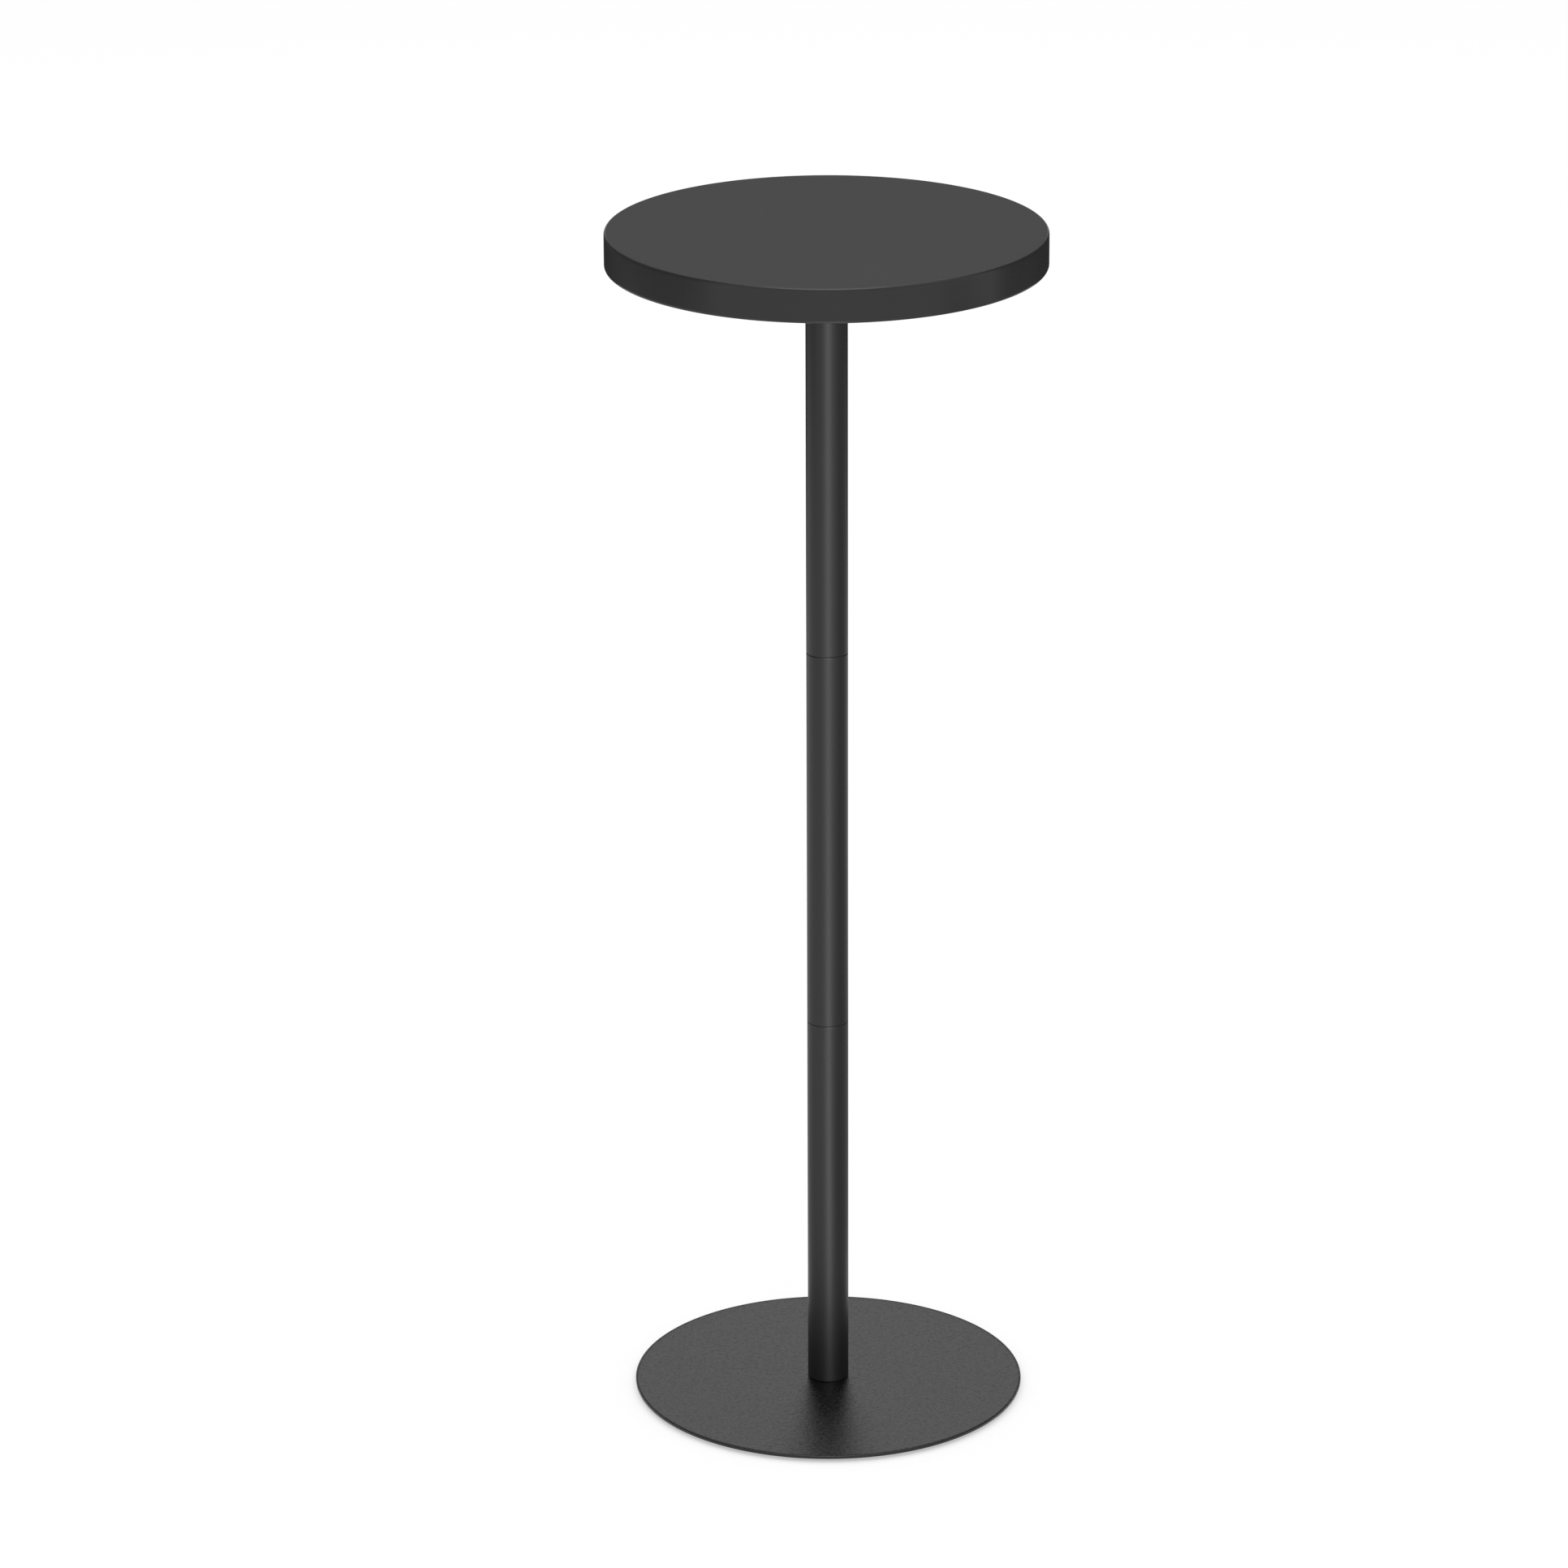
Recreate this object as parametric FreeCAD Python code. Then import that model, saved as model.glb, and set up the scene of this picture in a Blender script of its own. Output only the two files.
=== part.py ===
"""A wine table: a round board on a screw-together steel pole with a thin round foot plate.

Sizes are in millimetres. The pole stands on the Z axis and the floor is at Z = 0.
Three equal tubes make the pole. A tapped plug is welded into each tube end, headless
studs join tube to tube, a bolt from below holds the foot plate, and a flange with a
welded stud carries the board.
"""

import FreeCAD
import Part

import math
import os

# Board
TABLETOP_DIAMETER = 250.0
TABLETOP_THICKNESS = 20.0
TABLETOP_EDGE_RADIUS = 1.5

# Pole tubes
TUBE_DIAMETER = 24.0
TUBE_WALL = 1.2
TUBE_LENGTH = 226.5
TUBE_END_CHAMFER = 0.4

# Tapped plugs in the tube ends
PLUG_LENGTH = 14.0
PLUG_SETBACK = 0.5
PLUG_CHAMFER = 0.6
WELD_GAP = 0.05

# Threads, drawn plain at their outer diameter
THREAD_DIAMETER = 8.0
THREAD_CLEARANCE = 0.05
THREAD_ENGAGEMENT = 12.0
THREAD_CHAMFER = 1.0
SOCKET_ACROSS_FLATS = 4.0
SOCKET_DEPTH = 4.0

# Flange under the board
FLANGE_DIAMETER = 90.0
FLANGE_THICKNESS = 2.5
FLANGE_EDGE_RADIUS = 0.6

# Countersunk wood screws that hold the flange to the board
SCREW_COUNT = 4
SCREW_RIM_DISTANCE = 12.0
SCREW_HEAD_DIAMETER = 8.0
SCREW_SHANK_DIAMETER = 4.2
SCREW_TIP_LENGTH = 4.0
SCREW_TIP_DIAMETER = 0.6
SCREW_CLEARANCE = 0.05
BOARD_OVER_SCREW_TIP = 6.5

# Foot plate
BASE_DIAMETER = 229.0
BASE_THICKNESS = 2.0
BASE_EDGE_RADIUS = 0.6
BASE_HOLE_CLEARANCE = 0.25

# Low-head bolt under the foot plate
BOLT_HEAD_DIAMETER = 17.0
BOLT_HEAD_THICKNESS = 1.5
BOLT_HEAD_CHAMFER = 0.4
BOLT_FLOOR_CLEARANCE = 0.5
BOLT_SOCKET_ACROSS_FLATS = 5.0
BOLT_SOCKET_DEPTH = 3.0

# Foam pads under the foot plate
PAD_COUNT = 6
PAD_DIAMETER = 22.0
PAD_RIM_DISTANCE = 6.0
PAD_EDGE_RADIUS = 0.4

# Heights of the faces where the pieces meet, from the floor up
BASE_BOTTOM = BOLT_HEAD_THICKNESS + BOLT_FLOOR_CLEARANCE
BASE_TOP = BASE_BOTTOM + BASE_THICKNESS
LOWER_SEAM = BASE_TOP + TUBE_LENGTH
UPPER_SEAM = LOWER_SEAM + TUBE_LENGTH
FLANGE_BOTTOM = UPPER_SEAM + TUBE_LENGTH
TABLETOP_BOTTOM = FLANGE_BOTTOM + FLANGE_THICKNESS

# Radii that more than one piece takes its fit from
TUBE_RADIUS = TUBE_DIAMETER / 2
TUBE_BORE_RADIUS = TUBE_RADIUS - TUBE_WALL
THREAD_RADIUS = THREAD_DIAMETER / 2
TAPPED_RADIUS = THREAD_RADIUS + THREAD_CLEARANCE
THREAD_REACH = PLUG_SETBACK + THREAD_ENGAGEMENT

Z_AXIS = FreeCAD.Vector(0, 0, 1)
SAME = 1e-6


def on_axis(height):
    """Point on the pole's axis at a height."""
    return FreeCAD.Vector(0, 0, height)


def disc(radius, bottom, top):
    """Plain cylinder on the axis between two heights."""
    return Part.makeCylinder(radius, top - bottom, on_axis(bottom))


def ring_edges(solid, radius, *heights):
    """Circular edges of a solid with this radius at these heights, centred on the axis."""
    found = []
    for edge in solid.Edges:
        curve = edge.Curve
        if not isinstance(curve, Part.Circle) or abs(curve.Radius - radius) > SAME:
            continue
        if any(curve.Center.isEqual(on_axis(height), SAME) for height in heights):
            found.append(edge)
    return found


def hexagon(across_flats, bottom, top):
    """Hexagonal prism on the axis, the shape that a key socket takes away."""
    corner = across_flats / math.sqrt(3)
    turns = [math.radians(60 * side) for side in range(7)]
    corners = [FreeCAD.Vector(corner * math.cos(a), corner * math.sin(a), bottom) for a in turns]
    return Part.Face(Part.makePolygon(corners)).extrude(Z_AXIS * (top - bottom))


def spun(outline):
    """Solid of revolution about the axis from (radius, height) corners that start and end on it."""
    corners = [FreeCAD.Vector(radius, 0, height) for radius, height in outline]
    face = Part.Face(Part.makePolygon(corners + corners[:1]))
    return face.revolve(on_axis(0), Z_AXIS, 360)


def around(solid, count, radius):
    """Copies of a solid set evenly on a circle round the axis, the first one on +X."""
    copies = []
    for index in range(count):
        copy = solid.copy()
        copy.translate(FreeCAD.Vector(radius, 0, 0))
        copy.rotate(on_axis(0), Z_AXIS, 360 * index / count)
        copies.append(copy)
    return copies


def make_tube(bottom):
    """One pole tube with its outer ends broken, so that two tubes meet in a fine groove."""
    top = bottom + TUBE_LENGTH
    outside = disc(TUBE_RADIUS, bottom, top)
    outside = outside.makeChamfer(TUBE_END_CHAMFER, ring_edges(outside, TUBE_RADIUS, bottom, top))
    return outside.cut(disc(TUBE_BORE_RADIUS, bottom, top))


def make_plug(bottom):
    """Turned plug with a tapped hole through it, which fills the end of a tube."""
    top = bottom + PLUG_LENGTH
    radius = TUBE_BORE_RADIUS - WELD_GAP
    plug = disc(radius, bottom, top).cut(disc(TAPPED_RADIUS, bottom, top))
    rims = ring_edges(plug, radius, bottom, top) + ring_edges(plug, TAPPED_RADIUS, bottom, top)
    return plug.makeChamfer(PLUG_CHAMFER, rims)


def make_joint_stud(seam):
    """Headless stud across the seam of two tubes, with a key socket in its lower end."""
    bottom = seam - THREAD_REACH
    top = seam + THREAD_REACH
    stud = disc(THREAD_RADIUS, bottom, top)
    stud = stud.makeChamfer(THREAD_CHAMFER, ring_edges(stud, THREAD_RADIUS, bottom, top))
    return stud.cut(hexagon(SOCKET_ACROSS_FLATS, bottom, bottom + SOCKET_DEPTH))


def make_flange_stud():
    """Stud that hangs from the flange, welded flush with the flange's upper face."""
    bottom = FLANGE_BOTTOM - THREAD_REACH
    stud = disc(THREAD_RADIUS, bottom, TABLETOP_BOTTOM)
    return stud.makeChamfer(THREAD_CHAMFER, ring_edges(stud, THREAD_RADIUS, bottom))


def make_screw(growth=0.0):
    """Wood screw on the axis with its flat head level with the flange's lower face.

    A growth of its radii gives the hole that the screw leaves.
    """
    head_radius = SCREW_HEAD_DIAMETER / 2
    shank_radius = SCREW_SHANK_DIAMETER / 2
    cone_top = FLANGE_BOTTOM + head_radius - shank_radius
    tip = TABLETOP_BOTTOM + TABLETOP_THICKNESS - BOARD_OVER_SCREW_TIP
    return spun(
        [
            (0, FLANGE_BOTTOM),
            (head_radius + growth, FLANGE_BOTTOM),
            (shank_radius + growth, cone_top),
            (shank_radius + growth, tip - SCREW_TIP_LENGTH),
            (SCREW_TIP_DIAMETER / 2 + growth, tip),
            (0, tip),
        ]
    )


def set_screws(growth=0.0):
    """The flange's screws, or their holes, in their places."""
    circle = FLANGE_DIAMETER / 2 - SCREW_RIM_DISTANCE
    return around(make_screw(growth), SCREW_COUNT, circle)


def make_flange():
    """Round plate with countersunk screw holes and a middle hole for the stud."""
    radius = FLANGE_DIAMETER / 2
    plate = disc(radius, FLANGE_BOTTOM, TABLETOP_BOTTOM)
    plate = plate.makeFillet(FLANGE_EDGE_RADIUS, ring_edges(plate, radius, FLANGE_BOTTOM))
    stud_hole = disc(THREAD_RADIUS + WELD_GAP, FLANGE_BOTTOM, TABLETOP_BOTTOM)
    return plate.cut([stud_hole] + set_screws(SCREW_CLEARANCE))


def make_tabletop():
    """Round board with eased edges and the holes that the flange's screws leave in it."""
    top = TABLETOP_BOTTOM + TABLETOP_THICKNESS
    radius = TABLETOP_DIAMETER / 2
    board = disc(radius, TABLETOP_BOTTOM, top)
    board = board.makeFillet(TABLETOP_EDGE_RADIUS, ring_edges(board, radius, TABLETOP_BOTTOM, top))
    return board.cut(set_screws(SCREW_CLEARANCE))


def make_base_plate():
    """Round steel foot plate with broken edges and a middle hole for the bolt."""
    radius = BASE_DIAMETER / 2
    plate = disc(radius, BASE_BOTTOM, BASE_TOP)
    plate = plate.makeFillet(BASE_EDGE_RADIUS, ring_edges(plate, radius, BASE_BOTTOM, BASE_TOP))
    return plate.cut(disc(THREAD_RADIUS + BASE_HOLE_CLEARANCE, BASE_BOTTOM, BASE_TOP))


def make_base_bolt():
    """Bolt with a wide low head under the foot plate and a key socket in the head."""
    head_bottom = BASE_BOTTOM - BOLT_HEAD_THICKNESS
    head_radius = BOLT_HEAD_DIAMETER / 2
    head = disc(head_radius, head_bottom, BASE_BOTTOM)
    head = head.makeChamfer(BOLT_HEAD_CHAMFER, ring_edges(head, head_radius, head_bottom))
    tip = BASE_TOP + THREAD_REACH
    shank = disc(THREAD_RADIUS, BASE_BOTTOM, tip)
    shank = shank.makeChamfer(THREAD_CHAMFER, ring_edges(shank, THREAD_RADIUS, tip))
    socket = hexagon(BOLT_SOCKET_ACROSS_FLATS, head_bottom, head_bottom + BOLT_SOCKET_DEPTH)
    return head.fuse(shank).cut(socket).removeSplitter()


def make_floor_pads():
    """Foam pads under the rim of the foot plate, which lift it clear of the bolt's head."""
    radius = PAD_DIAMETER / 2
    pad = disc(radius, 0, BASE_BOTTOM)
    pad = pad.makeFillet(PAD_EDGE_RADIUS, ring_edges(pad, radius, 0))
    return around(pad, PAD_COUNT, BASE_DIAMETER / 2 - PAD_RIM_DISTANCE - radius)


def make_pole():
    """Named tubes of the pole, each with its two plugs."""
    pieces = {}
    bottoms = {"lower": BASE_TOP, "middle": LOWER_SEAM, "upper": UPPER_SEAM}
    for place, bottom in bottoms.items():
        top = bottom + TUBE_LENGTH
        pieces[f"{place}_tube"] = make_tube(bottom)
        pieces[f"{place}_tube_bottom_plug"] = make_plug(bottom + PLUG_SETBACK)
        pieces[f"{place}_tube_top_plug"] = make_plug(top - PLUG_SETBACK - PLUG_LENGTH)
    return pieces


def make_table():
    """Every piece of the table by its name."""
    return {
        "tabletop": make_tabletop(),
        "top_flange": make_flange(),
        "flange_stud": make_flange_stud(),
        "flange_screws": Part.makeCompound(set_screws()),
        **make_pole(),
        "upper_joint_stud": make_joint_stud(UPPER_SEAM),
        "lower_joint_stud": make_joint_stud(LOWER_SEAM),
        "base_plate": make_base_plate(),
        "base_bolt": make_base_bolt(),
        "floor_pads": Part.makeCompound(make_floor_pads()),
    }


def main():
    """Write one STEP file for each piece."""
    os.makedirs("parts", exist_ok=True)
    for name, shape in make_table().items():
        shape.exportStep(f"parts/{name}.step")


if __name__ == "__main__":
    main()
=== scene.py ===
"""Looks of a slim round wine table: its pieces, finishes, studio light and camera.

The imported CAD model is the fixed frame. The pieces that show, the threaded hardware and the
floor pads are modelled again here with finer meshes, and they stand for their CAD nodes. The
flange and the plugs inside the tubes keep their CAD meshes. Lengths are in metres.
"""

import logging
import math
from collections.abc import Callable, Iterator
from contextlib import contextmanager
from dataclasses import dataclass, field
from enum import Enum
from functools import cached_property

import bmesh
import bpy
from mathutils import Euler, Matrix, Vector


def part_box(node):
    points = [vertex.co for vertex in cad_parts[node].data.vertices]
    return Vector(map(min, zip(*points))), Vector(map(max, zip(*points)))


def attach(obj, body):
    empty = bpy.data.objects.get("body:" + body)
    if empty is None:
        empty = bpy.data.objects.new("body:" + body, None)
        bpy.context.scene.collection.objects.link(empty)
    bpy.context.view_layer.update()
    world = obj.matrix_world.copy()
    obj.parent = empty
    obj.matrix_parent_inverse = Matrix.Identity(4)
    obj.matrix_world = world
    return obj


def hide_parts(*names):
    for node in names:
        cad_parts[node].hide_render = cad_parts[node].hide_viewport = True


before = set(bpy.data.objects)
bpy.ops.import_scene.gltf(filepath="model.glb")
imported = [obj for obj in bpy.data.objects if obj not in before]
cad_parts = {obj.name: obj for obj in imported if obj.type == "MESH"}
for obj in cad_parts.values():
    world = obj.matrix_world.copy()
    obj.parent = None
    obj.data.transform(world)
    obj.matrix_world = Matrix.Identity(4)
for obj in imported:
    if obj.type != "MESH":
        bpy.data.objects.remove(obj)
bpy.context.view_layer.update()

LOG = logging.getLogger("wine_table")
MM = 0.001
BODY = "root"
ORIGIN = (0.0, 0.0, 0.0)
# How far a vertex may lie from the circle or height that it is picked by
NEAR = 0.002 * MM
# Least upright part of the normal of a level face
LEVEL = 0.99
# Faces that meet at a smaller angle than this are shaded as one surface
SMOOTH_ANGLE = math.radians(35)
# How far a cutting tool stands out of what it cuts
OVERCUT = 0.1 * MM
# Colour sockets of a Mix node, which share their names with its other sockets
MIX_FIRST, MIX_SECOND, MIX_RESULT = 6, 7, 2
WHITE = "ffffff"
# Sides of the plain shapes that faces and tools have
TRIANGLE, SQUARE, HEXAGON = 3, 4, 6


class Slot(Enum):
    """The material slots, one of which each of the table's finishes carries."""

    BOARD = "board_lacquer"
    POLE = "pole_powder_coat"
    BASE = "base_powder_coat"
    HARDWARE = "zinc_plated_steel"
    PADS = "pad_foam"


class Pick(Enum):
    """What a selection in edit mode takes."""

    EDGES = "EDGE"
    FACES = "FACE"


class Length(Enum):
    """The pole's three lengths, from the floor up."""

    LOWER = "lower"
    MIDDLE = "middle"
    UPPER = "upper"


class Tone(Enum):
    """How bright the studio's cards are, where 1 is plain white."""

    BLACK = 0.035
    CHARCOAL = 0.08
    GREY = 0.5
    PALE = 0.72
    BRIGHT = 2.7
    DAZZLING = 4.0


def linear(hex_colour: str) -> tuple[float, float, float, float]:
    """Turn an sRGB hex colour into the linear colour that a shader takes.

    Args:
        hex_colour: Six hex digits, such as "1c1c1c".

    Returns:
        Red, green and blue from 0 to 1, and an alpha of 1.
    """
    channels = [int(hex_colour[start : start + 2], 16) / 255 for start in (0, 2, 4)]
    red, green, blue = (c / 12.92 if c <= 0.04045 else ((c + 0.055) / 1.055) ** 2.4 for c in channels)
    return red, green, blue, 1.0


def add_node(
    tree: bpy.types.NodeTree,
    kind: str,
    settings: dict[str, object] | None = None,
    sockets: dict[str | int, object] | None = None,
) -> bpy.types.Node:
    """Add a shader node with its settings and links.

    Args:
        tree: The node tree that gets the node.
        kind: The node's type, as Blender names it.
        settings: Properties of the node by name.
        sockets: Inputs by name or number. An output of another node is linked, a value is set.

    Returns:
        The new node.
    """
    node = tree.nodes.new(kind)
    for name, value in (settings or {}).items():
        setattr(node, name, value)
    for name, value in (sockets or {}).items():
        if isinstance(value, bpy.types.NodeSocket):
            tree.links.new(value, node.inputs[name])
        else:
            node.inputs[name].default_value = value
    return node


@dataclass(frozen=True)
class Finish:
    """A surface finish, which makes its material once."""

    name: str
    slot: Slot | None = None

    @cached_property
    def material(self) -> bpy.types.Material:
        """Make the finish's material on Object coordinates.

        Returns:
            The material, which is the same one each time.
        """
        material = bpy.data.materials.new(self.name)
        material.use_nodes = True
        tree = material.node_tree
        tree.nodes.clear()
        place = add_node(tree, "ShaderNodeTexCoord").outputs["Object"]
        surface = self.shade(tree, place)
        add_node(tree, "ShaderNodeOutputMaterial", sockets={"Surface": surface})
        return material

    def shade(self, tree: bpy.types.NodeTree, place: bpy.types.NodeSocket) -> bpy.types.NodeSocket:
        """Add the finish's shader and patterns.

        Args:
            tree: The material's node tree.
            place: Object coordinates in metres.

        Returns:
            The shader's output.
        """
        raise NotImplementedError


@dataclass(frozen=True, kw_only=True)
class Coat(Finish):
    """A finish whose colour and gloss change a little from place to place."""

    dark: str
    light: str
    roughness: tuple[float, float]

    def coat(
        self, tree: bpy.types.NodeTree, pattern: bpy.types.NodeSocket, sockets: dict[str | int, object]
    ) -> bpy.types.NodeSocket:
        """Add the shader with its colour and roughness on a pattern.

        Args:
            tree: The material's node tree.
            pattern: The pattern, from 0 where the coat is dark to 1 where it is light.
            sockets: What else the shader takes.

        Returns:
            The shader's output.
        """
        colour = add_node(
            tree,
            "ShaderNodeMix",
            {"data_type": "RGBA"},
            {"Factor": pattern, MIX_FIRST: linear(self.dark), MIX_SECOND: linear(self.light)},
        )
        low, high = self.roughness
        gloss = add_node(
            tree, "ShaderNodeMapRange", sockets={"Value": pattern, "To Min": low, "To Max": high}
        )
        varied = {"Base Color": colour.outputs[MIX_RESULT], "Roughness": gloss.outputs["Result"]}
        shader = add_node(tree, "ShaderNodeBsdfPrincipled", sockets=varied | sockets)
        return shader.outputs["BSDF"]


@dataclass(frozen=True, kw_only=True)
class OrangePeelCoat(Coat):
    """A sprayed coat with a cloudy gloss over a faint orange peel."""

    cloud_size: float
    cloud_detail: float
    peel_size: float
    peel_depth: float
    peel_detail: float = 1.0
    ior: float = 1.5
    specular: float = 0.5

    def shade(self, tree: bpy.types.NodeTree, place: bpy.types.NodeSocket) -> bpy.types.NodeSocket:
        """Cloud the colour and the gloss a little, and raise the orange peel.

        Args:
            tree: The material's node tree.
            place: Object coordinates in metres.

        Returns:
            The shader's output.
        """
        cloud = add_node(
            tree,
            "ShaderNodeTexNoise",
            sockets={"Vector": place, "Scale": 1 / self.cloud_size, "Detail": self.cloud_detail},
        )
        peel = add_node(
            tree,
            "ShaderNodeTexNoise",
            sockets={"Vector": place, "Scale": 1 / self.peel_size, "Detail": self.peel_detail},
        )
        bump = add_node(
            tree, "ShaderNodeBump", sockets={"Height": peel.outputs["Fac"], "Distance": self.peel_depth}
        )
        rest = {"IOR": self.ior, "Specular IOR Level": self.specular, "Normal": bump.outputs["Normal"]}
        return self.coat(tree, cloud.outputs["Fac"], rest)


@dataclass(frozen=True, kw_only=True)
class SprayedLacquer(OrangePeelCoat):
    """Black nitrocellulose lacquer, sprayed on sanded fibreboard."""

    # Gives the eye an even black with a soft pale sheen, slightly cloudy, over a faint orange peel
    dark: str = "242424"
    light: str = "262626"
    roughness: tuple[float, float] = (0.68, 0.72)
    # The matting agent on top takes some of the reflection away
    specular: float = 0.37
    cloud_size: float = 45 * MM
    cloud_detail: float = 3.0
    peel_size: float = 1.6 * MM
    peel_depth: float = 0.012 * MM


@dataclass(frozen=True, kw_only=True)
class SandedEdgeLacquer(SprayedLacquer):
    """The same lacquer on the board's edge, which is sanded finer than its faces."""

    # Gives the eye a paler black with a clearer sheen, which carries the studio's light along the rim
    dark: str = "282828"
    light: str = "2a2a2a"
    roughness: tuple[float, float] = (0.26, 0.28)
    specular: float = 0.3


@dataclass(frozen=True, kw_only=True)
class SmoothPowderCoat(OrangePeelCoat):
    """Smooth black polyester powder, baked on steel tube."""

    # Gives the eye a deep black with long soft streaks of light, slightly uneven in their gloss
    dark: str = "050505"
    light: str = "080808"
    roughness: tuple[float, float] = (0.38, 0.42)
    cloud_size: float = 18 * MM
    cloud_detail: float = 2.0
    peel_size: float = 2.4 * MM
    peel_depth: float = 0.02 * MM


@dataclass(frozen=True, kw_only=True)
class TexturedPowderCoat(Coat):
    """Fine-textured black polyester powder, baked on steel plate."""

    # Gives the eye a black like fine sandpaper, greyer and speckled where it is seen at a low angle. Part of
    # the speckle is painted shade: the grain's pits are coloured darker than its crests
    dark: str = "060606"
    light: str = "0b0b0b"
    roughness: tuple[float, float] = (0.11, 0.34)
    ior: float = 1.48
    grit_size: float = 0.4 * MM
    grit_detail: float = 1.0
    grit_depth: float = 0.13 * MM
    # The real grain is as fine as the grit and is drawn coarser, so that its speckle shows
    grain_size: float = 2.2 * MM
    grain_detail: float = 2.0
    grain_depth: float = 0.1 * MM
    # Heights of the grain's noise that make its pits and its crests, between which the pits' painted shade
    # and gloss turn into the crests' paler, duller coat
    grain_span: tuple[float, float] = (0.40, 0.64)

    def shade(self, tree: bpy.types.NodeTree, place: bpy.types.NodeSocket) -> bpy.types.NodeSocket:
        """Raise the grit and the grain, let the crests be duller than the pits, and paint shade into the
        pits, which leaves the crests paler.

        Args:
            tree: The material's node tree.
            place: Object coordinates in metres.

        Returns:
            The shader's output.
        """
        grit = add_node(
            tree,
            "ShaderNodeTexNoise",
            sockets={"Vector": place, "Scale": 1 / self.grit_size, "Detail": self.grit_detail},
        )
        grain = add_node(
            tree,
            "ShaderNodeTexNoise",
            sockets={"Vector": place, "Scale": 1 / self.grain_size, "Detail": self.grain_detail},
        )
        gritty = add_node(
            tree, "ShaderNodeBump", sockets={"Height": grit.outputs["Fac"], "Distance": self.grit_depth}
        )
        grainy = add_node(
            tree,
            "ShaderNodeBump",
            sockets={
                "Height": grain.outputs["Fac"],
                "Distance": self.grain_depth,
                "Normal": gritty.outputs["Normal"],
            },
        )
        pit, crest = self.grain_span
        # Painted shade: the grain that raises the bump also colours its pits dark and its crests pale
        speckle = add_node(
            tree,
            "ShaderNodeMapRange",
            sockets={"Value": grain.outputs["Fac"], "From Min": pit, "From Max": crest},
        )
        rest = {"IOR": self.ior, "Normal": grainy.outputs["Normal"]}
        return self.coat(tree, speckle.outputs["Result"], rest)


@dataclass(frozen=True, kw_only=True)
class ZincPlate(Coat):
    """Bright zinc plating on machined steel."""

    # Gives the eye a pale cool metal, a little cloudy, duller where the plating is thick
    dark: str = "a9acae"
    light: str = "c3c6c8"
    roughness: tuple[float, float] = (0.28, 0.42)
    cloud_size: float = 3 * MM
    cloud_detail: float = 4.0

    def shade(self, tree: bpy.types.NodeTree, place: bpy.types.NodeSocket) -> bpy.types.NodeSocket:
        """Cloud the colour and the gloss of the metal.

        Args:
            tree: The material's node tree.
            place: Object coordinates in metres.

        Returns:
            The shader's output.
        """
        cloud = add_node(
            tree,
            "ShaderNodeTexNoise",
            sockets={"Vector": place, "Scale": 1 / self.cloud_size, "Detail": self.cloud_detail},
        )
        return self.coat(tree, cloud.outputs["Fac"], {"Metallic": 1.0})


@dataclass(frozen=True, kw_only=True)
class DieCutFoam(Coat):
    """Black closed-cell polyethylene foam, die-cut from sheet."""

    # Gives the eye a dull soft black, peppered with the cells that the cut opened, whose hollows are painted
    # darker as shade
    dark: str = "0d0d0d"
    light: str = "1d1d1d"
    roughness: tuple[float, float] = (0.85, 0.95)
    ior: float = 1.5
    cell_size: float = 0.5 * MM
    cell_depth: float = 0.1 * MM

    def shade(self, tree: bpy.types.NodeTree, place: bpy.types.NodeSocket) -> bpy.types.NodeSocket:
        """Sink the cells, paint shade into their hollows and leave their walls paler.

        Args:
            tree: The material's node tree.
            place: Object coordinates in metres.

        Returns:
            The shader's output.
        """
        cells = add_node(
            tree, "ShaderNodeTexVoronoi", sockets={"Vector": place, "Scale": 1 / self.cell_size}
        )
        depth = cells.outputs["Distance"]
        bump = add_node(tree, "ShaderNodeBump", sockets={"Height": depth, "Distance": self.cell_depth})
        # Painted shade: the colour follows the cells' depth, dark in their hollows and pale on their walls
        return self.coat(tree, depth, {"IOR": self.ior, "Normal": bump.outputs["Normal"]})


@dataclass(frozen=True)
class SeamlessPaper(Finish):
    """White paper of the studio floor."""

    # Gives the eye a plain matt white with a light soft shadow, and nothing where it is seen from below
    colour: str = "fbfbfb"
    # Share of plain white in what the camera and a sheen see of it
    glow: float = 0.45

    def shade(self, tree: bpy.types.NodeTree, place: bpy.types.NodeSocket) -> bpy.types.NodeSocket:
        """Make the paper matt white above and clear below.

        Args:
            tree: The material's node tree.
            place: Object coordinates in metres, which this shader does not use.

        Returns:
            The shader's output.
        """
        path = add_node(tree, "ShaderNodeLightPath").outputs
        seen = path["Is Camera Ray"]
        for ray in ("Is Glossy Ray", "Is Transmission Ray"):
            larger = add_node(tree, "ShaderNodeMath", {"operation": "MAXIMUM"}, {0: seen, 1: path[ray]})
            seen = larger.outputs["Value"]
        share = add_node(tree, "ShaderNodeMath", {"operation": "MULTIPLY"}, {0: seen, 1: self.glow})
        paper = add_node(tree, "ShaderNodeBsdfDiffuse", sockets={"Color": linear(self.colour)})
        white = add_node(tree, "ShaderNodeEmission", sockets={"Color": linear(WHITE), "Strength": 1.0})
        lit = add_node(
            tree,
            "ShaderNodeMixShader",
            sockets={0: share.outputs["Value"], 1: paper.outputs["BSDF"], 2: white.outputs["Emission"]},
        )
        clear = add_node(tree, "ShaderNodeBsdfTransparent")
        below = add_node(tree, "ShaderNodeNewGeometry").outputs["Backfacing"]
        sockets = {0: below, 1: lit.outputs["Shader"], 2: clear.outputs["BSDF"]}
        return add_node(tree, "ShaderNodeMixShader", sockets=sockets).outputs["Shader"]


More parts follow.
